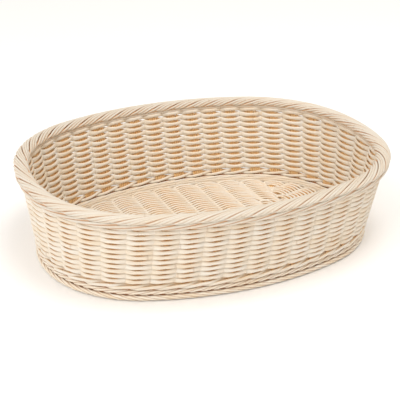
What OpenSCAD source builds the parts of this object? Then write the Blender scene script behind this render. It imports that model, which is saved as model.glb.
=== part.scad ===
// Oval wicker pet bed basket: woven base, twined side wall, rolled border and braided foot.
// X runs along the basket, Y across it and Z up. The origin is the middle of the foot's underside.
// Every ring follows one kind of oval, built from eight tangent arcs, and each level of the wall
// has its own oval, so the wall leans outward from the foot to the border.

/* [Overall size] */
// Length over the rolled border
rim_length = 560; // [540:5:600]
// Width over the rolled border
rim_width = 457; // [450:1:464]
// Height from the foot's underside to the top of the border
height = 144.5; // [144:0.5:150]
// Length over the foot border
foot_length = 515; // [505:5:525]
// Width over the foot border
foot_width = 368; // [362:1:374]

/* [Canes] */
// Diameter of the canes that are woven round the wall and the base
weaver_d = 4.6; // [4.2:0.1:4.6]
// Diameter of the upright stakes and of the ribs across the base
stake_d = 3.2; // [2.8:0.1:3.2]
// Free gap left between canes that lie side by side
cane_gap = 0.3; // [0.2:0.05:0.4]

/* [Stakes] */
// Bundles of stakes round the wall
stake_bundles = 42; // [36:1:43]
// Stakes in one bundle
stakes_per_bundle = 5; // [3:1:5]

/* [Side wall] */
// Twined courses of the side wall
side_courses = 10; // [8:1:10]
// Height from one side course to the next
course_pitch = 8.5; // [8:0.05:8.7]
// Height from one top wale to the next
wale_pitch = 8.8; // [8.4:0.1:9]
// Height of the foot wale, the heavier course between the foot and the side wall
wale_h = 8.4; // [7.8:0.1:8.6]

/* [Border] */
// Diameter of the border's upper bundles
border_d = 8.6; // [8:0.1:8.6]
// Diameter of the two lower bundles of the border
border_under_d = 6; // [5.5:0.1:6]

/* [Foot] */
// Diameter of the foot's upper bundle
foot_d = 8.2; // [7.8:0.1:8.2]

/* [Base] */
// Height of the ribs' axes over the foot's underside
base_z = 6.5; // [6.5:0.5:8]
// Rings of weaving from the middle of the base to its edge
base_rings = 20; // [18:1:20]
// Distance from one ring to the next
base_pitch = 7.3; // [7:0.1:7.3]
// Distance between the bundles of ribs
rib_pitch = 38; // [36:1:38]

/* [Hidden] */
CANE = "#ecd7b2";
CANE_LIGHT = "#f3e4c8";
CANE_DARK = "#dfbf8f";

// Each oval turns through its end arc up to end_turn, then its corner arc up to corner_turn, then
// its side arc. The corner radius is a share of the half-width.
end_turn = 12;
corner_turn = 70;
foot_corner_share = 0.87;
rim_corner_share = 0.81;
ring_steps = 72;

// The foot: a flattened bundle on the floor, a round one on top of it and a taller one inside them.
// Distances out from the stake line
foot_split = 1.6;
foot_low_w = foot_d - 0.8;
foot_low_h = foot_d + 1;
foot_top_out = 1.8;
foot_top_z = foot_low_h + 0.1 + foot_d / 2;
foot_inner_out = foot_top_out - foot_d / 2 - 0.3;

// The border: one bundle on top and one on each side of it, then one below them inside and one
// that hangs lower outside
border_z = height - border_d / 2;
border_reach = border_d + 0.1;
border_drop = 1.7;
border_under_reach = 4.8;
border_under_z = border_z - 8;
border_hang_reach = border_reach + (border_d - border_under_d) / 2 - 0.1;
border_hang_z = border_z - 11.6;

// The stake line is the oval through the stakes' axes.
stake_line_foot = [foot_length, foot_width] / 2 - [1, 1] * (foot_split + foot_low_w);
stake_line_rim = [rim_length, rim_width] / 2 - [1, 1] * (border_reach + border_d / 2);
stake_bottom = foot_top_z + foot_d / 2 + 1.1;
stake_top = border_under_z - border_under_d / 2 - cane_gap;
stake_phase = 0.52;
// The stakes lean out as they rise, so the canes beside them stand off by that lean.
lean = (stake_line_rim[1] - stake_line_foot[1]) / border_z;
stake_clear = 1.05 * stake_d / 2 + lean * wale_h / 2 + cane_gap;
weaver_w = weaver_d - 0.6;
wale_w = weaver_w + 1;
top_wale_w = border_hang_reach - border_under_d / 2 - cane_gap - stake_clear;

wale_z = stake_bottom + wale_h / 2;
side_gap = 3.7;
side_z0 = wale_z + wale_h / 2 + side_gap + weaver_d / 2;
top_wales = 2;
top_z0 = stake_top - weaver_d / 2 - (top_wales - 1) * wale_pitch;

// The foot's inner bundle closes the wall from the floor up to the wale.
foot_inner_w = foot_inner_out + stake_clear + weaver_w;
foot_inner_h = wale_z - weaver_d / 2 - cane_gap;

// The base lies inside the foot. Its rings are worked above and below the ribs.
foot_inside = stake_clear + weaver_w + cane_gap;
base_weaver_h = weaver_d - 0.6;
base_layer = (stake_d + base_weaver_h) / 2 + cane_gap;
base_inner_corner = 10;
base_corner_steps = 18;
rings_per_node = 2;
base_nodes = ceil(base_rings / rings_per_node);
middle_canes = 6;

// Ribs: straight across the middle, fanned out at the ends and in the corners
rib_canes = 5;
cross_bundles = 9;
cross_reach = (cross_bundles - 1) / 2 * rib_pitch;
end_bundles = 6;
end_rib_pitch = 22;
end_rib_spread = 0.25;
outer_rib_x = cross_reach + rib_pitch / 2 + 2;
corner_rib_y = [81, 106];
corner_rib_turn = [24, 46];

// The sixths of the wall, from the front left on, and the share of the way round where they start
SECTORS = ["front_left", "front_right", "right", "back_right", "back_left", "left"];
sector_start = 0.54;

function two(n) = n < 10 ? str("0", n) : str(n);

// ---- Ovals ----

// The oval with half-sizes a and b and corner radius c, as [end, corner, side] radii and their
// centres: the end arc's on X, the corner arc's in the first quarter and the side arc's on Y.
function oval(a, b, c) =
    let (
        m00 = 1 - cos(end_turn), m01 = cos(corner_turn),
        m10 = sin(end_turn), m11 = 1 - sin(corner_turn),
        det = m00 * m11 - m01 * m10,
        e = ((a - c) * m11 - (b - c) * m01) / det,
        s = (m00 * (b - c) - m10 * (a - c)) / det
    )
    [c + e, c, c + s,
     [a - c - e, 0],
     [a - c - e + e * cos(end_turn), e * sin(end_turn)],
     [0, b - c - s]];

// The stake line's oval at height z
function wall_oval(z) =
    let (
        t = z / border_z,
        half = stake_line_foot * (1 - t) + stake_line_rim * t,
        corner = stake_line_foot[1] * foot_corner_share * (1 - t)
               + stake_line_rim[1] * rim_corner_share * t
    )
    oval(half[0], half[1], corner);

// Point of an oval where its outward normal points to angle n, for n from 0 to 90
function quarter_point(o, n) =
    n <= end_turn ? o[3] + o[0] * [cos(n), sin(n)]
    : n <= corner_turn ? o[4] + o[1] * [cos(n), sin(n)]
    : o[5] + o[2] * [cos(n), sin(n)];

// The same for any angle, by mirroring the first quarter
function oval_point(o, n) =
    let (
        w = n - 360 * floor(n / 360),
        q = w <= 90 ? w : w <= 180 ? 180 - w : w <= 270 ? w - 180 : 360 - w,
        p = quarter_point(o, q)
    )
    [(w > 90 && w < 270 ? -1 : 1) * p[0], (w > 180 ? -1 : 1) * p[1]];

// Length of an oval from its end on X to where its normal points to angle n, for n from 0 to 90
function quarter_length(o, n) =
    PI / 180 * (o[0] * min(n, end_turn)
        + o[1] * max(0, min(n, corner_turn) - end_turn)
        + o[2] * max(0, n - corner_turn));

// Normal angle at a length s along the first quarter
function quarter_angle(o, s) =
    let (s1 = quarter_length(o, end_turn), s2 = quarter_length(o, corner_turn))
    s <= s1 ? s / o[0] * 180 / PI
    : s <= s2 ? end_turn + (s - s1) / o[1] * 180 / PI
    : corner_turn + (s - s2) / o[2] * 180 / PI;

// Normal angle at share u of the way round, counted from +X towards +Y
function round_angle(o, u) =
    let (
        quarter = quarter_length(o, 90),
        v = 4 * (u - floor(u)),
        k = floor(v),
        r = (v - k) * quarter
    )
    k == 0 ? quarter_angle(o, r)
    : k == 1 ? 180 - quarter_angle(o, quarter - r)
    : k == 2 ? 180 + quarter_angle(o, r)
    : 360 - quarter_angle(o, quarter - r);

// The oval at distance d outside another, on the same centres
function grown(o, d) = [o[0] + d, o[1] + d, o[2] + d, o[3], o[4], o[5]];

// Distance from an oval to a point outside it, or less than 0 inside it
function outside(o, p) =
    let (q = [abs(p[0]), abs(p[1])], v = q - o[4], n = atan2(v[1], v[0]))
    n < end_turn ? norm(q - o[3]) - o[0]
    : n > corner_turn ? norm(q - o[5]) - o[2]
    : norm(v) - o[1];

// Where a line from point p along v meets an oval, found in so many steps
function line_end(o, p, v, steps = 14) =
    steps == 0 ? p : line_end(o, p - outside(o, p) * v, v, steps - 1);

function oval_outline(o) = [for (i = [0:ring_steps - 1]) oval_point(o, i * 360 / ring_steps)];

// A flat band round an oval, from inner to outer outside it
module band(o, z, inner, outer, h) {
    translate([0, 0, z])
        linear_extrude(height = h)
            difference() {
                polygon(oval_outline(grown(o, outer)));
                polygon(oval_outline(grown(o, inner)));
            }
}

// A round bundle bent into a ring on an oval, with its centre out beyond it
module round_ring(o, z, out, d) {
    sides = 10;
    points = [
        for (i = [0:ring_steps - 1], j = [0:sides - 1])
            let (
                reach = out + d / 2 * cos(j * 360 / sides + 180 / sides),
                p = oval_point(grown(o, reach), i * 360 / ring_steps)
            )
            [p[0], p[1], z + d / 2 * sin(j * 360 / sides + 180 / sides)]
    ];
    faces = [
        for (i = [0:ring_steps - 1], j = [0:sides - 1])
            let (next = (i + 1) % ring_steps, up = (j + 1) % sides)
            [i * sides + j, i * sides + up, next * sides + up, next * sides + j]
    ];
    polyhedron(points, faces);
}

// ---- Wall ----

// One twined course: the canes pass in front of every bundle of stakes outside and inside
module twined_course(z, outer_w, outer_h) {
    o = wall_oval(z);
    band(o, z - outer_h / 2, stake_clear, stake_clear + outer_w, outer_h);
    band(o, z - weaver_d / 2, -stake_clear - weaver_w, -stake_clear, weaver_d);
}

module foot_wale() {
    color(CANE_LIGHT) twined_course(wale_z, wale_w, wale_h);
}

module side_course(i) {
    color(CANE) twined_course(side_z0 + (i - 1) * course_pitch, weaver_w, weaver_d);
}

module top_wale(i) {
    color(CANE_LIGHT) twined_course(top_z0 + (i - 1) * wale_pitch, top_wale_w, weaver_d);
}

// A straight cane between two points
module cane(from, to, d) {
    v = to - from;
    h = norm(v);
    translate(from)
        rotate([0, acos(v[2] / h), atan2(v[1], v[0])])
            cylinder(h = h, d = d, $fn = 24);
}

// One stake, standing on the stake line where the wall's normal points to angle n
module stake(n) {
    low = oval_point(wall_oval(stake_bottom), n);
    high = oval_point(wall_oval(stake_top), n);
    cane([low[0], low[1], stake_bottom], [high[0], high[1], stake_top], stake_d);
}

// Share of the way round for a cane of a bundle: canes touch side by side at the foot
function bundle_step() =
    (stake_d + cane_gap) / (4 * quarter_length(wall_oval(stake_bottom), 90));

// The sixth of the wall that holds a point at share u of the way round
function sector_at(u) =
    let (v = u - sector_start)
    floor((v - floor(v)) * len(SECTORS));

module stakes(sector) {
    foot_oval = wall_oval(stake_bottom);
    color(CANE_DARK)
        for (k = [0:stake_bundles - 1], j = [0:stakes_per_bundle - 1]) {
            middle = (k + stake_phase) / stake_bundles;
            if (sector_at(middle) == sector)
                stake(round_angle(foot_oval, middle + (j - (stakes_per_bundle - 1) / 2) * bundle_step()));
        }
}

// ---- Border and foot ----

module border_top() {
    color(CANE_LIGHT) round_ring(wall_oval(border_z), border_z, 0, border_d);
}

module border_outer() {
    color(CANE_LIGHT) round_ring(wall_oval(border_z), border_z - border_drop, border_reach, border_d);
}

module border_inner() {
    color(CANE_LIGHT) round_ring(wall_oval(border_z), border_z - border_drop, -border_reach, border_d);
}

module border_under_outer() {
    color(CANE) round_ring(wall_oval(border_z), border_hang_z, border_hang_reach, border_under_d);
}

module border_under_inner() {
    color(CANE) round_ring(wall_oval(border_z), border_under_z, -border_under_reach, border_under_d);
}

// The bundles of the braid that meet the floor are pressed flat.
module foot_braid_outer() {
    color(CANE) band(wall_oval(0), 0, foot_split, foot_split + foot_low_w, foot_low_h);
}

module foot_braid_inner() {
    color(CANE)
        band(wall_oval(foot_top_z), 0, foot_inner_out - foot_inner_w, foot_inner_out, foot_inner_h);
}

module foot_braid_top() {
    color(CANE_LIGHT) round_ring(wall_oval(foot_top_z), foot_top_z, foot_top_out, foot_d);
}

// ---- Base ----

base_edge = grown(wall_oval(foot_top_z), -foot_inside - weaver_d / 2);
rib_edge = grown(wall_oval(foot_top_z), -foot_inside - stake_d / 2);
base_half = [base_edge[3][0] + base_edge[0], base_edge[5][1] + base_edge[2]];
inner_ring_half = base_half - [1, 1] * base_pitch * (base_rings - 1);

// Outline of ring k of the base, grown by d. The rings change from a rounded rectangle in the
// middle to the base's oval edge.
function ring_outline(k, d) =
    let (
        t = (k - 1) / (base_rings - 1),
        flat = (1 - t) * (inner_ring_half - [1, 1] * base_inner_corner),
        corner = (1 - t) * base_inner_corner + d
    )
    [for (q = [0:3], i = [0:base_corner_steps - 1])
        let (
            n = 90 * (q + (i + 0.5) / base_corner_steps),
            sx = q == 0 || q == 3 ? 1 : -1,
            sy = q < 2 ? 1 : -1
        )
        [sx * flat[0], sy * flat[1]] + corner * [cos(n), sin(n)] + t * oval_point(base_edge, n)];

module base_ring(k, z) {
    translate([0, 0, z - base_weaver_h / 2])
        linear_extrude(height = base_weaver_h)
            difference() {
                polygon(ring_outline(k, weaver_d / 2));
                polygon(ring_outline(k, -weaver_d / 2));
            }
}

module base_rings_group(i) {
    first = rings_per_node * (i - 1) + 1;
    color(i % 2 == 0 ? CANE : CANE_LIGHT)
        for (k = [first:min(first + rings_per_node - 1, base_rings)], side = [-1, 1])
            base_ring(k, base_z + side * base_layer);
}

// Canes side by side at the ribs' level, from about point p along direction v to the base's edge
module rib_bundle(p, v, back = false) {
    side = [-v[1], v[0]];
    for (j = [0:rib_canes - 1]) {
        middle = p + side * (j - (rib_canes - 1) / 2) * (stake_d + cane_gap);
        from = back ? line_end(rib_edge, middle, -v) : middle;
        to = line_end(rib_edge, middle, v);
        cane([from[0], from[1], base_z], [to[0], to[1], base_z], stake_d);
    }
}

module base_cross_ribs() {
    color(CANE_DARK)
        for (i = [0:cross_bundles - 1])
            rib_bundle([i * rib_pitch - cross_reach, 0], [0, 1], back = true);
}

module base_end_ribs(side) {
    color(CANE_DARK)
        for (i = [0:end_bundles - 1]) {
            y = (i - (end_bundles - 1) / 2) * end_rib_pitch;
            v = [side * (base_half[0] - outer_rib_x), end_rib_spread * y];
            rib_bundle([side * outer_rib_x, y], v / norm(v));
        }
}

module base_corner_ribs() {
    color(CANE_DARK)
        for (sx = [-1, 1], sy = [-1, 1], i = [0:len(corner_rib_y) - 1]) {
            n = corner_rib_turn[i];
            rib_bundle([sx * outer_rib_x, sy * corner_rib_y[i]], [sx * cos(n), sy * sin(n)]);
        }
}

module base_middle_canes() {
    reach = inner_ring_half[0] - weaver_d - 1;
    pitch = 2 * inner_ring_half[1] / (middle_canes + 1);
    color(CANE_LIGHT)
        for (i = [0:middle_canes - 1], side = [-1, 1]) {
            y = (i - (middle_canes - 1) / 2) * pitch;
            z = base_z + side * base_layer;
            cane([-reach, y, z], [reach, y, z], weaver_d);
        }
}

foot_braid_outer();
foot_braid_inner();
foot_braid_top();
foot_wale();
for (i = [1:side_courses])
    side_course(i);
for (i = [1:top_wales])
    top_wale(i);
border_top();
border_outer();
border_inner();
border_under_outer();
border_under_inner();
for (i = [0:len(SECTORS) - 1])
    stakes(i);
base_cross_ribs();
base_end_ribs(-1);  // base_end_ribs_left
base_end_ribs(1);  // base_end_ribs_right
base_corner_ribs();
base_middle_canes();
for (i = [1:base_nodes])
    base_rings_group(i);
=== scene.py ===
"""Oval wicker pet bed basket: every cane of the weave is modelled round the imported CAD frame."""

import math

import bpy
import numpy as np
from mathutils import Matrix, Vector


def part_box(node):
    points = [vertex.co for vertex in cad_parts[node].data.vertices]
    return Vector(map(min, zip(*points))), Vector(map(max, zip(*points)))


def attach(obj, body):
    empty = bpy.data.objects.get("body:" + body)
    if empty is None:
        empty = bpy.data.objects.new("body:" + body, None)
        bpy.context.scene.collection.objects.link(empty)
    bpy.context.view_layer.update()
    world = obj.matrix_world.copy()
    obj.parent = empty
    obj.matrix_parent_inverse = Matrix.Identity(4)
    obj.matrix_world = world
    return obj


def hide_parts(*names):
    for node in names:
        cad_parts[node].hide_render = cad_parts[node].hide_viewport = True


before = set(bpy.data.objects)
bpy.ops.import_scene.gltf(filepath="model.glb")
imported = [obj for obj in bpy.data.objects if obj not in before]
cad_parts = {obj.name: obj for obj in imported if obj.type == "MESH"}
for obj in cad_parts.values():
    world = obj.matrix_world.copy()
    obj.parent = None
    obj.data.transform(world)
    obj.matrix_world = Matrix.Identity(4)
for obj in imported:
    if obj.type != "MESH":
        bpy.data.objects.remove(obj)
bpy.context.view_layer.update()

MM = 0.001  # every cane is laid out in millimetres, and its mesh is in metres
random = np.random.default_rng(41)


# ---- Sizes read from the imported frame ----

def node_box(name):
    low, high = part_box(name)
    return np.array(low) / MM, np.array(high) / MM


def middle_z(name):
    low, high = node_box(name)
    return (low[2] + high[2]) / 2


BUNDLES = 42            # bundles of stakes round the wall
BUNDLE_PHASE = 0.52     # where the first bundle stands, as a share of one bundle's pitch
CANES_IN_BUNDLE = 5
STAKE_SPACING = 3.5     # between the middles of neighbouring canes in a bundle
FOOT_REACH = 9.0        # from the stake line to the foot ring's outer face
RIM_REACH = 12.8        # from the stake line to the border's outer face
RIB_PITCH = 38.0        # between the bundles of ribs across the base
# Normal angles at which an oval's end arc meets its corner arc, and its corner arc its side arc
END_TURN, CORNER_TURN = math.radians(12), math.radians(70)

RIM_TOP = node_box("border_top")[1][2]
BORDER_Z = RIM_TOP - 4.3   # the height of the rim oval
foot_half = node_box("foot_braid_outer")[1][:2] - FOOT_REACH
rim_half = node_box("border_outer")[1][:2] - RIM_REACH


# ---- The ovals that the wall follows ----

def oval(a, b, corner):
    """An oval of eight tangent arcs: the end, corner and side radii, and the arcs' centres."""
    m = np.array([[1 - math.cos(END_TURN), math.cos(CORNER_TURN)],
                  [math.sin(END_TURN), 1 - math.sin(CORNER_TURN)]])
    e, s = np.linalg.solve(m, [a - corner, b - corner])
    return ((corner + e, corner, corner + s),
            ((a - corner - e, 0),
             (a - corner - e + e * math.cos(END_TURN), e * math.sin(END_TURN)),
             (0, b - corner - s)))


def oval_points(shape, normal, grow=0.0):
    """The points of an oval where its outward normals point to these angles."""
    radii, centres = shape
    w = np.mod(normal, 2 * np.pi)
    q = np.where(w <= np.pi / 2, w, np.where(w <= np.pi, np.pi - w,
                 np.where(w <= 1.5 * np.pi, w - np.pi, 2 * np.pi - w)))
    part = np.where(q <= END_TURN, 0, np.where(q <= CORNER_TURN, 1, 2))
    r = np.array(radii)[part] + grow
    c = np.array(centres)[part]
    x = c[:, 0] + r * np.cos(q)
    y = c[:, 1] + r * np.sin(q)
    x = np.where((w > np.pi / 2) & (w < 1.5 * np.pi), -x, x)
    return np.stack([x, np.where(w > np.pi, -y, y)], 1)


FOOT_CORNER, RIM_CORNER = 0.87, 0.81   # corner radii as shares of the half-widths
FOOT_OVAL = oval(*foot_half, FOOT_CORNER * foot_half[1])
RIM_OVAL = oval(*rim_half, RIM_CORNER * rim_half[1])


def level(z):
    """The oval of the stake line at height z."""
    t = z / BORDER_Z
    half = foot_half * (1 - t) + rim_half * t
    return oval(*half, FOOT_CORNER * foot_half[1] * (1 - t) + RIM_CORNER * rim_half[1] * t)


# Normal angle against the share of the way round at the foot of the stakes
TABLE_N = np.linspace(0, 2 * np.pi, 7201)
ring = oval_points(level(node_box("stakes_left")[0][2]), TABLE_N)
TABLE_U = np.concatenate([[0], np.cumsum(np.linalg.norm(np.diff(ring, axis=0), axis=1))])
TABLE_U /= TABLE_U[-1]


def wall(u, z, w):
    """Points of the wall at share u of the way round and height z, w outside the stake line."""
    n = np.interp(np.mod(u, 1), TABLE_U, TABLE_N)
    t = (np.asarray(z) / BORDER_Z)[..., None]
    flat = oval_points(FOOT_OVAL, n) * (1 - t) + oval_points(RIM_OVAL, n) * t
    normal = np.stack([np.cos(n), np.sin(n)], 1)
    flat = flat + normal * np.asarray(w)[..., None]
    return np.column_stack([flat, np.broadcast_to(z, n.shape)]), \
        np.column_stack([normal, np.zeros(len(n))])


# ---- Canes ----

GRAIN_SPREAD = 5000    # each cane's grain starts at a random place in this length
GRAIN_RADIUS = 2.0     # of the cane that the grain is laid on


class Canes:
    """A mesh of many canes, each swept along its own path with an oval section."""

    def __init__(self):
        self.points, self.quads, self.caps = [], [], []
        self.grain, self.cap_grain, self.tone, self.shade = [], [], [], []
        self.count = 0

    def add(self, path, face, width, thick, closed=False, tone=0.5, shade=0.0, under=0.0, sides=8):
        """path in mm, with face pointing out of the woven surface at each of its points.
        shade is painted shade over the whole cane; under is painted shade on its inner side, or on
        its outer side where negative: the side that faces into the weave."""
        path, face = np.asarray(path, float), np.asarray(face, float)
        n = len(path)
        if closed:
            along = np.roll(path, -1, 0) - np.roll(path, 1, 0)
            steps = np.linalg.norm(np.roll(path, -1, 0) - path, axis=1)
        else:
            along = np.gradient(path, axis=0)
            steps = np.linalg.norm(np.diff(path, axis=0), axis=1)
        along /= np.linalg.norm(along, axis=1)[:, None]
        side = np.cross(along, face)
        side /= np.linalg.norm(side, axis=1)[:, None]
        out = np.cross(side, along)
        angle = 2 * np.pi * np.arange(sides) / sides

        def per_point(value):
            return np.broadcast_to(value, n)[:, None]

        rings = path[:, None] + side[:, None] * (per_point(width) * np.cos(angle))[..., None] \
            + out[:, None] * (per_point(thick) * np.sin(angle))[..., None]
        length = np.concatenate([[0], np.cumsum(steps)])
        base = self.count
        self.points.append(rings.reshape(-1, 3))
        self.count += n * sides
        rows = n if closed else n - 1
        i = np.arange(rows)[:, None]
        j = np.arange(sides)[None, :]
        i2, j2 = (i + 1) % n, (j + 1) % sides
        quad = np.stack([i * sides + j, i * sides + j2, i2 * sides + j2, i2 * sides + j], -1)
        self.quads.append(base + quad.reshape(-1, 4))
        start = random.uniform(0, GRAIN_SPREAD)
        cos, sin = np.cos(angle) * GRAIN_RADIUS, np.sin(angle) * GRAIN_RADIUS

        def place(row, column):
            """Grain coordinates: along the cane, then round it."""
            shape = np.broadcast(row, column).shape
            return np.stack([np.broadcast_to(start + length[row], shape),
                             np.broadcast_to(cos[column], shape),
                             np.broadcast_to(sin[column], shape)], -1)

        grain = np.stack([place(i, j), place(i, j2), place(i + 1, j2), place(i + 1, j)], 2)
        self.grain.append(grain.reshape(-1, 3))
        if not closed:
            for row, order in ((0, np.arange(sides)[::-1]), (n - 1, np.arange(sides))):
                self.caps.append(base + row * sides + order)
                self.cap_grain.append(place(np.array([row]), order))
        self.tone.append(np.broadcast_to(per_point(tone), (n, sides)).reshape(-1))
        # Painted shade on the side that faces into the weave: inside where under is positive,
        # outside where negative
        under = per_point(under)
        painted_under_shade = np.abs(under) * np.clip(0.6 - 1.2 * np.sign(under) * np.sin(angle), 0, 1)
        self.shade.append(np.clip(shade + painted_under_shade, 0, 1).reshape(-1))

    def piece(self, name, material, slot, *nodes):
        """Makes the mesh's object, riding on the root body in place of the CAD nodes."""
        points = np.concatenate(self.points) * MM
        quads = np.concatenate(self.quads).astype(np.int32)
        corners = [quads.reshape(-1)] + [c.astype(np.int32) for c in self.caps]
        sizes = np.array([4] * len(quads) + [len(c) for c in self.caps], np.int32)
        grain = np.concatenate(self.grain + self.cap_grain) * MM
        mesh = bpy.data.meshes.new(name)
        mesh.vertices.add(len(points))
        mesh.vertices.foreach_set("co", points.astype(np.float32).reshape(-1))
        corners = np.concatenate(corners)
        mesh.loops.add(len(corners))
        mesh.loops.foreach_set("vertex_index", corners)
        mesh.polygons.add(len(sizes))
        starts = np.concatenate([[0], np.cumsum(sizes)[:-1]]).astype(np.int32)
        mesh.polygons.foreach_set("loop_start", starts)
        mesh.polygons.foreach_set("use_smooth", sizes == 4)
        mesh.update(calc_edges=True)
        mesh.validate()
        for key, kind, domain, values in (
                ("grain", "FLOAT_VECTOR", "CORNER", grain),
                ("tone", "FLOAT", "POINT", np.concatenate(self.tone)),
                ("shade", "FLOAT", "POINT", np.concatenate(self.shade))):
            layer = mesh.attributes.new(key, kind, domain)
            layer.data.foreach_set("vector" if kind == "FLOAT_VECTOR" else "value",
                                   values.astype(np.float32).reshape(-1))
        mesh.materials.append(material)
        piece = bpy.data.objects.new(name, mesh)
        bpy.context.scene.collection.objects.link(piece)
        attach(piece, "root")
        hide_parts(*nodes)


def wander(n, size, waves):
    """A slow random drift along a cane, closed on itself."""
    t = np.linspace(0, 2 * np.pi, n, endpoint=False)
    total = np.zeros(n)
    for k in waves:
        total += np.cos(k * t + random.uniform(0, 2 * np.pi)) * random.uniform(0.5, 1.0)
    return size * total / len(waves)


# ---- Material ----

def map_range(tree, value, low, high, from_low=0.0, from_high=1.0):
    """A node that maps a value from one range to another, low to high."""
    node = tree.nodes.new("ShaderNodeMapRange")
    for key, number in (("From Min", from_low), ("From Max", from_high),
                        ("To Min", low), ("To Max", high)):
        node.inputs[key].default_value = number
    tree.links.new(value, node.inputs["Value"])
    return node.outputs["Result"]


def cane_material(name, pale, honey, shade_colour, rough):
    """Peeled cane: pale and honey set the body, the third colour is painted shade that the shade
    attribute mixes over it, and rough is the roughness between the fibres."""
    material = bpy.data.materials.new(name)
    material.use_nodes = True
    tree = material.node_tree
    nodes, links = tree.nodes, tree.links
    shader = nodes["Principled BSDF"]

    def attribute(key):
        node = nodes.new("ShaderNodeAttribute")
        node.attribute_name = key
        return node

    def noise(source, scale, detail, roughness=0.55):
        mapping = nodes.new("ShaderNodeMapping")
        mapping.inputs["Scale"].default_value = scale
        links.new(source, mapping.inputs["Vector"])
        node = nodes.new("ShaderNodeTexNoise")
        node.inputs["Scale"].default_value = 1.0
        node.inputs["Detail"].default_value = detail
        node.inputs["Roughness"].default_value = roughness
        links.new(mapping.outputs["Vector"], node.inputs["Vector"])
        return node.outputs["Fac"]

    def math_node(operation, *values):
        node = nodes.new("ShaderNodeMath")
        node.operation = operation
        for socket, value in zip(node.inputs, values):
            if isinstance(value, float):
                socket.default_value = value
            else:
                links.new(value, socket)
        return node.outputs[0]

    def mix(factor, base, colour):
        node = nodes.new("ShaderNodeMix")
        node.data_type = "RGBA"
        links.new(factor, node.inputs[0])
        links.new(base, node.inputs[6])
        node.inputs[7].default_value = (*colour, 1)
        return node.outputs[2]

    grain = attribute("grain").outputs["Vector"]
    tone = attribute("tone").outputs["Fac"]
    shade = attribute("shade").outputs["Fac"]
    patches = noise(grain, (14, 90, 90), 2)
    fibres = noise(grain, (45, 1500, 1500), 3, 0.6)
    pores = noise(grain, (420, 2600, 2600), 1)

    # Tone of the whole cane, then slow patches and fine fibres along it
    where = math_node("MULTIPLY_ADD", patches, 0.9, -0.45)
    where = math_node("ADD", where, tone)
    where = math_node("ADD", where, math_node("MULTIPLY_ADD", fibres, 0.5, -0.25))
    ramp = nodes.new("ShaderNodeValToRGB")
    ramp.color_ramp.elements[0].position = 0.05
    ramp.color_ramp.elements[0].color = (*honey, 1)
    ramp.color_ramp.elements[1].position = 0.72
    ramp.color_ramp.elements[1].color = (*pale, 1)
    links.new(where, ramp.inputs["Fac"])
    colour = ramp.outputs["Color"]

    # Nodes of the cane: a thin brown line across it every half metre or so
    split = nodes.new("ShaderNodeSeparateXYZ")
    links.new(grain, split.inputs[0])
    cells = nodes.new("ShaderNodeTexVoronoi")
    cells.voronoi_dimensions = "1D"
    cells.inputs["Scale"].default_value = 2.2
    links.new(split.outputs["X"], cells.inputs["W"])
    joint = map_range(tree, cells.outputs["Distance"], 0.25, 0.0, 0.001, 0.004)
    colour = mix(joint, colour, (0.36, 0.20, 0.09))
    # Painted shade: the shade attribute blends the cane towards its shade colour where it lies in
    # the weave's shadow
    colour = mix(shade, colour, shade_colour)
    links.new(colour, shader.inputs["Base Color"])

    links.new(map_range(tree, fibres, rough - 0.08, rough + 0.14), shader.inputs["Roughness"])
    shader.inputs["Specular IOR Level"].default_value = 0.35

    height = math_node("MULTIPLY_ADD", pores, 0.35, fibres)
    height = math_node("SUBTRACT", height, joint)
    bump = nodes.new("ShaderNodeBump")
    bump.inputs["Strength"].default_value = 0.35
    bump.inputs["Distance"].default_value = 0.0004
    links.new(height, bump.inputs["Height"])
    links.new(bump.outputs["Normal"], shader.inputs["Normal"])
    return material


# PALE and HONEY are the cane's own colours; the third is orange painted shade for the weave's
# crevices
PALE, HONEY, PAINTED_SHADE = (0.79, 0.73, 0.64), (0.76, 0.60, 0.41), (0.94, 0.60, 0.26)
side_cane = cane_material("side_cane", PALE, HONEY, PAINTED_SHADE, 0.44)
wale_cane = cane_material("wale_cane", PALE, HONEY, PAINTED_SHADE, 0.44)
# The border's body colours are a little darker than the side canes': painted shade that tones down
# the rim under the top light. Its third colour is the orange painted shade of its crevices.
border_cane = cane_material("border_cane", (0.70, 0.64, 0.55), (0.66, 0.52, 0.37),
                            (0.68, 0.32, 0.10), 0.42)
# The foot's third colour is a dark brown painted shadow for the crevices and spots between its
# braids
foot_cane = cane_material("foot_cane", (0.87, 0.80, 0.69), (0.81, 0.64, 0.43),
                          (0.42, 0.17, 0.06), 0.48)
# The stakes' orange is their cane colour made deeper as painted shade, for the gaps between the
# courses where they show
stake_cane = cane_material("stake_cane", (0.96, 0.70, 0.38), (0.92, 0.59, 0.27), PAINTED_SHADE, 0.5)
base_cane = cane_material("base_cane", PALE, (0.76, 0.58, 0.38), PAINTED_SHADE, 0.46)


# ---- Side wall ----

STEPS = 12  # points of a cane for each bundle that it passes
COURSE_POINTS = BUNDLES * STEPS
COURSE_U = np.arange(COURSE_POINTS) / COURSE_POINTS
UNDER_SHADE = 0.8  # how strongly painted shade darkens the side of a weaving cane that faces into the weave


def bundle_count(u):
    """How many bundles have been passed at share u of the way round."""
    return u * BUNDLES - BUNDLE_PHASE


# A cane of a course: its half width and half thickness, how far it stands from the stake line,
# and how far above or below the course's height it crosses the other
WIDTH, THICK, REACH, TWIST = 2.7, 1.85, 4.5, 0.5


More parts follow.
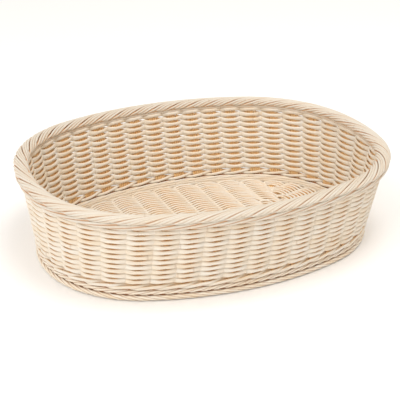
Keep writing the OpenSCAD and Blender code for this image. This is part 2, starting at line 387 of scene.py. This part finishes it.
def twined(name, node, material, slot):
    """One course: two canes, one outside and one inside each bundle, crossing between them."""
    canes = Canes()
    n = COURSE_POINTS
    drift = wander(n, 0.35, (3, 5, 9, 21))
    for first in (0, 1):
        s = bundle_count(COURSE_U) + first
        side = np.clip(1.2 * np.cos(np.pi * s), -1, 1)
        w = REACH * side + wander(n, 0.25, (15, 23, 41))
        z = middle_z(node) + TWIST * np.sin(np.pi * s) + drift
        path, face = wall(COURSE_U, z, w)
        # Wider where they cross, so that no hole shows there: the two canes nearly coincide
        # at the crossing and pass through each other, which real canes don't
        pressed = np.sin(np.pi * s) ** 2
        # under paints shade on the side of each cane that faces the stakes, and none where the two
        # cross
        canes.add(path, face, WIDTH * (1 + 0.55 * pressed), THICK * (1 + 0.1 * pressed),
                  closed=True, tone=0.55 + wander(n, 0.22, (3, 5, 8, 13)), under=UNDER_SHADE * side,
                  sides=10)
    canes.piece(name, material, slot, node)


for i in range(10):
    twined(f"side_course_canes_{i + 1:02d}", f"side_course_{i + 1:02d}", side_cane, "side_cane")

for i in range(2):
    twined(f"top_wale_canes_{i + 1}", f"top_wale_{i + 1}", wale_cane, "wale_cane")


def rope(canes, strands, lead, section, width, thick, turn=1, group=0.0, steps=8, sides=8,
         tone=0.5, shade=0.0, under=0.0, dips=()):
    """Canes laid round a ring like a rope's: strands of them, each going once round the section in
    lead bundles. section is (z, w, half height, half width) of the centre lines' oval. The canes
    lie in threes, and group is how far the outer two of three lean on the middle one. dips are
    hollows (depth, degrees round the section, spread in degrees, how many for each bundle,
    length)."""
    z0, w0, half_z, half_w = section
    t = np.linspace(0, 2 * np.pi, 721)
    rim = np.stack([half_w * np.cos(t), half_z * np.sin(t)], 1)
    far = np.concatenate([[0], np.cumsum(np.linalg.norm(np.diff(rim, axis=0), axis=1))])
    shift = strands * BUNDLES // lead
    rounds = strands // math.gcd(strands, shift)
    for first in range(math.gcd(strands, shift)):
        n = rounds * BUNDLES * steps
        u = rounds * np.arange(n) / n
        turns = turn * bundle_count(u) / lead + first / strands
        # Leaning on the middle cane keeps a gap between one three and the next
        member = (first % 3) - 1
        turns = turns - group * member / strands
        theta = np.interp(np.mod(turns, 1) * far[-1], far, t)
        out_w, out_z = np.cos(theta) / half_w, np.sin(theta) / half_z
        size = np.hypot(out_w, out_z)
        sink = np.zeros(n)
        for depth, middle, spread, each, length in dips:
            along = (np.mod(bundle_count(u) * each + 0.5, 1) - 0.5) / (each * length)
            around = (np.mod(theta - math.radians(middle) + np.pi, 2 * np.pi) - np.pi) \
                / math.radians(spread)
            sink += depth * np.exp(-along ** 2 - around ** 2)
        z = z0 + (half_z - sink) * np.sin(theta) + wander(n, 0.12, (7, 19, 43))
        w = w0 + (half_w - sink) * np.cos(theta) + wander(n, 0.12, (11, 23, 37))
        path, normal = wall(u, z, w)
        face = normal * (out_w / size)[:, None]
        face[:, 2] += out_z / size
        # shade and under are painted shade on each cane, under on its side facing the rope's
        # middle
        canes.add(path, face, width, thick, closed=True, sides=sides, shade=shade, under=under,
                  tone=tone + wander(n, 0.2, (5, 11, 17, 29)))


def plain_ring(canes, z, w, width, thick, tone, shade):
    """One plain cane round the wall at height z, w outside the stake line."""
    path, face = wall(COURSE_U, np.full(COURSE_POINTS, z), np.full(COURSE_POINTS, w))
    canes.add(path, face, width, thick, closed=True, tone=tone, shade=shade)


# The foot wale: three canes that pass outside two bundles and inside one
WALE_REACH, WALE_RISE = 4.6, 2.4
canes = Canes()
drift = wander(COURSE_POINTS, 0.3, (5, 9, 17))
for i in range(3):
    turn = 2 * np.pi * (bundle_count(COURSE_U) - 0.5 + i) / 3
    w = WALE_REACH * np.clip(0.333 + 1.333 * np.cos(turn), -1, 1.1)
    z = middle_z("foot_wale") + WALE_RISE * np.sin(turn) + drift
    path, face = wall(COURSE_U, z, w)
    # under paints shade on the side of each cane that faces the stakes
    canes.add(path, face, 2.4, 1.9, closed=True,
              tone=0.55 + wander(COURSE_POINTS, 0.2, (4, 7, 11)),
              under=UNDER_SHADE * np.clip(w / WALE_REACH, -1, 1), sides=10)
canes.piece("foot_wale_canes", wale_cane, "wale_cane", "foot_wale")


# ---- Stakes ----

SECTORS = ("front_left", "front_right", "right", "back_right", "back_left", "left")
SECTOR_START = 0.54    # the share of the way round where the first sector starts
STAKE_POINTS = 16
stake_low = node_box("stakes_left")[0][2]
stake_high = BORDER_Z - 5.0
stakes = {name: Canes() for name in SECTORS}
for k in range(BUNDLES):
    middle = (k + BUNDLE_PHASE) / BUNDLES
    sector = SECTORS[int(((middle - SECTOR_START) % 1) * len(SECTORS))]
    for j in range(CANES_IN_BUNDLE):
        z = np.linspace(stake_low, stake_high, STAKE_POINTS)
        path, face = wall(np.full(STAKE_POINTS, middle), z, np.zeros(STAKE_POINTS))
        tangent = np.stack([-face[:, 1], face[:, 0], np.zeros(STAKE_POINTS)], 1)
        offset = (j - 2) * STAKE_SPACING + random.normal(0, 0.12)
        lean = random.normal(0, 0.35) * (z - stake_low) / (stake_high - stake_low)
        path = path + tangent * (offset + lean)[:, None] + face * random.normal(0, 0.12)
        # shade 0.12 is painted shade over the stakes, which stand behind the weave
        stakes[sector].add(path, face, 1.65, 1.5, tone=random.uniform(0.25, 0.75), shade=0.12)
for name, canes in stakes.items():
    canes.piece(f"stake_canes_{name}", stake_cane, "stake_cane", f"stakes_{name}")


# ---- Border ----

canes = Canes()
# under paints shade on the side of each cane that faces the rope's middle
rope(canes, 12, 4, (RIM_TOP - 7.1, 1.3, 5.1, 9.4), 1.9, 2.0, group=0.11, steps=9, sides=10,
     tone=0.6, under=1.0,
     dips=[(3.2, 222, 28, 1, 0.15), (2.6, 148, 16, 1, 0.10), (2.4, -28, 16, 1, 0.16)])
canes.piece("border_rolled_canes", border_cane, "border_cane",
            "border_top", "border_outer", "border_inner")

canes = Canes()
# under paints shade on the side of each cane that faces the rope's middle
rope(canes, 4, 4, (RIM_TOP - 15.1, 8.7, 3.1, 2.4), 1.95, 1.8, steps=9, sides=10, tone=0.6,
     under=0.9)
canes.piece("border_outer_twist", border_cane, "border_cane", "border_under_outer")

canes = Canes()
# Core canes inside the border, darkened with painted shade (tone 0.4, shade 0.45) so the gaps
# between the border's canes show brown; the two plain rings below fill the crevice there, with a
# little painted shade
rope(canes, 9, 3, (RIM_TOP - 9.6, -0.5, 1.9, 6.0), 2.4, 1.7, tone=0.4, shade=0.45)
for w in (-4.2, 4.2):
    plain_ring(canes, RIM_TOP - 13.6, w, 2.4, 2.0, 0.6 + wander(COURSE_POINTS, 0.2, (5, 9)), 0.1)
canes.piece("border_core_canes", border_cane, "border_cane", "border_under_inner")


# ---- Foot ----

canes = Canes()
# under paints shade on the side of each cane that faces the braid's middle
rope(canes, 4, 2, (middle_z("foot_braid_top") + 0.2, 2.7, 2.9, 2.4), 1.85, 1.75, tone=0.55,
     under=0.8, dips=[(3.8, -55, 32, 2, 0.12), (3.6, 55, 32, 2, 0.15)])
# Two rings behind the braid, wholly in the foot's dark painted shadow colour, so its gaps show as
# dark spots
for z, w in ((9.2, 0.6), (18.2, 0.4)):
    plain_ring(canes, z, w, 2.2, 2.0, 0.3, 1.0)
canes.piece("foot_upper_braid", foot_cane, "foot_cane", "foot_braid_top")

canes = Canes()
# under paints shade on the side of each cane that faces the braid's middle
rope(canes, 4, 2, (4.8, 4.9, 2.9, 2.1), 1.85, 1.75, turn=-1, tone=0.5, under=0.8,
     dips=[(3.4, 65, 32, 2, 0.12)])
canes.piece("foot_outer_braid", foot_cane, "foot_cane", "foot_braid_outer")

canes = Canes()
# Light painted shade here: under 0.2 on the side facing each rope's middle, shade 0.1 on the plain
# ring
for z in (3.6, 9.9, 16.2):
    rope(canes, 3, 3, (z, -4.5, 1.6, 0.9), 2.0, 1.7, tone=0.5, under=0.2)
plain_ring(canes, 13.1, -5.6, 2.0, 1.6, 0.5, 0.1)
canes.piece("foot_inner_weave", base_cane, "base_cane", "foot_braid_inner")


# ---- Base ----

RINGS = 20
RING_PITCH = 7.3
base_z = middle_z("base_cross_ribs")
EDGE_IN = 9.86    # from the stake line at the foot's height to the outermost ring's middle
edge_oval = level(middle_z("foot_braid_top"))
base_half = node_box("base_rings_10")[1][:2] - 2.2
inner_half = base_half - RING_PITCH * (RINGS - 1)
INNER_CORNER = 10.0
LONGEST_GAP = 34.0    # the pair turns at least this often where ribs are far apart
LIFT = 3.5            # from the ribs' middle to a ring's cane
TURN_OFFSET = 1.75    # how far the pair's canes pass beside each other where they change places


def ring_path(k, spacing=2.6):
    """Ring k of the base, counted from the middle, as evenly spaced points."""
    t = (k - 1) / (RINGS - 1)
    # Turned a little, so that no point lies where two quarters meet
    normal = np.linspace(0, 2 * np.pi, 720, endpoint=False) + 0.004
    quarter = np.floor(normal / (np.pi / 2)).astype(int)
    flat = (1 - t) * (inner_half - INNER_CORNER)
    corner = np.stack([np.where((quarter == 0) | (quarter == 3), 1, -1) * flat[0],
                       np.where(quarter < 2, 1, -1) * flat[1]], 1)
    points = corner + (1 - t) * INNER_CORNER * np.stack([np.cos(normal), np.sin(normal)], 1) \
        + t * oval_points(edge_oval, normal, -EDGE_IN)
    closed = np.vstack([points, points[:1]])
    far = np.concatenate([[0], np.cumsum(np.linalg.norm(np.diff(closed, axis=0), axis=1))])
    n = int(far[-1] / spacing)
    at = np.arange(n) * far[-1] / n
    return np.stack([np.interp(at, far, closed[:, i]) for i in (0, 1)], 1), far[-1]


cross_x = (np.arange(9) - 4) * RIB_PITCH
outer_x = 4 * RIB_PITCH + RIB_PITCH / 2 + 2


def rib_end(start, way):
    """Where a line from start along way meets the base's edge."""
    point = np.array(start, float)
    radii, centres = edge_oval
    c = np.array(centres)
    for _ in range(20):
        q = np.abs(point)
        v = q - c[1]
        turn = math.atan2(v[1], v[0])
        k = 0 if turn < END_TURN else 2 if turn > CORNER_TURN else 1
        gap = np.linalg.norm(q - c[k]) - (radii[k] - EDGE_IN + 0.7)
        point = point - gap * np.array(way)
    return point


# Each is (group, start, way, whether it also runs back to the opposite edge)
rib_lines = []
for x in cross_x:
    rib_lines.append(("base_cross_ribs", (x, 0.0), (0.0, 1.0), True))
for side, group in ((-1, "base_end_ribs_left"), (1, "base_end_ribs_right")):
    for i in range(6):
        y = (i - 2.5) * 22.0
        way = np.array([side * (base_half[0] - outer_x), 0.25 * y])
        rib_lines.append((group, (side * outer_x, y), tuple(way / np.linalg.norm(way)), False))
for sx in (-1, 1):
    for sy in (-1, 1):
        for y, turn in ((81, 24), (106, 46)):
            a = math.radians(turn)
            rib_lines.append(("base_corner_ribs", (sx * outer_x, sy * y),
                              (sx * math.cos(a), sy * math.sin(a)), False))

UP = np.array([0.0, 0.0, 1.0])
ribs = {}
rib_spans = []
for group, start, way, both in rib_lines:
    canes = ribs.setdefault(group, Canes())
    start, way = np.array(start), np.array(way)
    across = np.array([-way[1], way[0]])
    for j in range(CANES_IN_BUNDLE):
        middle = start + across * (j - 2) * STAKE_SPACING
        low = rib_end(middle, -way) if both else middle
        high = rib_end(middle, way)
        t = np.linspace(0, 1, 24 if both else 6)[:, None]
        flat = low + (high - low) * t
        path = np.column_stack([flat, np.full(len(flat), base_z)])
        # shade 0.1 is painted shade over the ribs, which lie under the base's weave
        canes.add(path, np.tile(UP, (len(path), 1)), 1.55, 1.55,
                  tone=random.uniform(0.3, 0.75), shade=0.1)
        if j == 2:
            rib_spans.append((low, high))
for group, canes in ribs.items():
    canes.piece(f"{group}_canes", stake_cane, "stake_cane", group)


def crossings(path, total):
    """How far along a closed path it passes over each bundle of ribs, in order."""
    a, b = path, np.roll(path, -1, 0)
    step = total / len(path)
    found = []
    for low, high in rib_spans:
        d, e = high - low, b - a
        det = e[:, 0] * -d[1] + e[:, 1] * d[0]
        r = low - a
        with np.errstate(divide="ignore", invalid="ignore"):
            t = (r[:, 0] * -d[1] + r[:, 1] * d[0]) / det
            v = (e[:, 0] * r[:, 1] - e[:, 1] * r[:, 0]) / det
        hit = np.nonzero((t >= 0) & (t < 1) & (v >= 0) & (v <= 1))[0]
        found += [(i + t[i]) * step for i in hit]
    return sorted(found)


def fill_gaps(found, total, longest):
    """The same with turns of the pair added where ribs are far apart."""
    out = []
    for a, b in zip(found, found[1:] + [found[0] + total]):
        parts = max(1, round((b - a) / longest))
        out += [a + (b - a) * k / parts for k in range(parts)]
    return out


def base_pair(canes, flat, s):
    """A pair of canes twined over and under the ribs along a path, with s whole at each bundle."""
    along = np.gradient(flat, axis=0)
    along /= np.linalg.norm(along, axis=1)[:, None]
    across = np.stack([along[:, 1], -along[:, 0]], 1)
    n = len(flat)
    for sign in (1, -1):
        lift = LIFT * np.clip(1.15 * np.cos(np.pi * s), -1, 1) * sign
        shift = TURN_OFFSET * np.sin(np.pi * s) * sign
        points = np.column_stack([flat + across * (shift + wander(n, 0.2, (7, 13, 29)))[:, None],
                                  base_z + lift])
        # under paints shade on the side of each cane that faces the ribs
        canes.add(points, np.tile(UP, (n, 1)), 1.95, 1.75, under=UNDER_SHADE * lift / LIFT,
                  tone=0.55 + wander(n, 0.2, (3, 7, 12)))


for group in range(10):
    canes = Canes()
    for k in (2 * group + 1, 2 * group + 2):
        flat, total = ring_path(k)
        found = fill_gaps(crossings(flat, total), total, LONGEST_GAP)
        # The pair's ends meet at the front of the basket
        seam = int(np.argmin(flat[:, 1] + 0.001 * np.abs(flat[:, 0])))
        flat = np.roll(flat, -seam, 0)
        start = seam * total / len(flat)
        marks = np.sort(np.mod(np.array(found) - start, total))
        count = len(marks)
        at = np.arange(len(flat) + 1) * total / len(flat)
        marks = np.concatenate([marks[-2:] - total, marks, marks[:2] + total])
        s = np.interp(at, marks, np.arange(-2, count + 2))
        flat = np.vstack([flat, flat[:1]])
        base_pair(canes, flat, s)
    canes.piece(f"base_ring_canes_{group + 1:02d}", base_cane, "base_cane",
                f"base_rings_{group + 1:02d}")

canes = Canes()
reach = node_box("base_middle_canes")[1][0]
rows = 6
x = np.linspace(-reach, reach, 90)
for i in range(rows):
    y = (i - (rows - 1) / 2) * 2 * inner_half[1] / (rows + 1)
    base_pair(canes, np.stack([x, np.full(len(x), y)], 1), x / RIB_PITCH + 4)
canes.piece("base_middle_weave", base_cane, "base_cane", "base_middle_canes")


# ---- Floor, light and camera ----

def plain_material(name, colour, roughness):
    material = bpy.data.materials.new(name)
    material.use_nodes = True
    shader = material.node_tree.nodes["Principled BSDF"]
    shader.inputs["Base Color"].default_value = (*colour, 1)
    shader.inputs["Roughness"].default_value = roughness
    shader.inputs["Specular IOR Level"].default_value = 0.1
    return material


mesh = bpy.data.meshes.new("floor")
half = 9.0
mesh.from_pydata([(-half, -half, 0), (half, -half, 0), (half, half, 0), (-half, half, 0)], [],
                 [(0, 1, 2, 3)])
floor = bpy.data.objects.new("floor", mesh)
floor.location.z = -0.0004
mesh.materials.append(plain_material("floor_white", (0.98, 0.98, 0.98), 0.9))
bpy.context.scene.collection.objects.link(floor)

world = bpy.data.worlds.new("studio")
bpy.context.scene.world = world
world.use_nodes = True
# The daylight is brighter on the left and warmer on the right
tree = world.node_tree
nodes, links = tree.nodes, tree.links
sky = nodes.new("ShaderNodeTexCoord")
axes = nodes.new("ShaderNodeSeparateXYZ")
links.new(sky.outputs["Generated"], axes.inputs[0])
strength = map_range(tree, axes.outputs["X"], 1.12, 0.48, from_low=-1.0)
links.new(strength, nodes["Background"].inputs["Strength"])
warmth = nodes.new("ShaderNodeMix")
warmth.data_type = "RGBA"
warmth.inputs[6].default_value = (1.0, 1.0, 1.0, 1)
warmth.inputs[7].default_value = (1.0, 0.90, 0.77, 1)
links.new(map_range(tree, axes.outputs["X"], 0.0, 1.0, from_low=-1.0), warmth.inputs[0])
links.new(warmth.outputs[2], nodes["Background"].inputs["Color"])


def turned_to(way):
    """The rotation of a light or camera that looks along way."""
    return Vector(way).to_track_quat("-Z", "Y")


def area_light(name, position, target, size, power):
    light = bpy.data.lights.new(name, "AREA")
    light.shape = "DISK"
    light.size = size
    light.energy = power
    lamp = bpy.data.objects.new(name, light)
    lamp.location = position
    lamp.rotation_mode = "QUATERNION"
    lamp.rotation_quaternion = turned_to(np.array(target) - np.array(position))
    bpy.context.scene.collection.objects.link(lamp)


area_light("key", (-2.2, -1.6, 2.4), (0, 0, 0.05), 1.8, 28)
area_light("top", (0.5, -0.9, 3.0), (0, 0.1, 0), 1.8, 40)

PICTURE = 400                                          # the picture's width and height, in pixels
AZIMUTH, ELEVATION, DISTANCE = -0.4052, 0.4244, 1.5659  # radians, radians and metres
AIM_HEIGHT = 0.0667                                     # of the point circled, in metres
LENS, CENTRE_X, CENTRE_Y = 1030.69, 203.35, 195.82      # in pixels
camera = bpy.data.cameras.new("camera")
camera.sensor_width = 36.0
camera.lens = LENS / PICTURE * camera.sensor_width
camera.shift_x = 0.5 - CENTRE_X / PICTURE
camera.shift_y = CENTRE_Y / PICTURE - 0.5
camera.clip_end = 100
eye = bpy.data.objects.new("camera", camera)
back = np.array([math.sin(AZIMUTH) * math.cos(ELEVATION),
                 -math.cos(AZIMUTH) * math.cos(ELEVATION), math.sin(ELEVATION)])
eye.location = back * DISTANCE + np.array([0, 0, AIM_HEIGHT])
eye.rotation_mode = "QUATERNION"
eye.rotation_quaternion = turned_to(-back)
bpy.context.scene.collection.objects.link(eye)
bpy.context.scene.camera = eye
bpy.context.scene.view_settings.view_transform = "Standard"
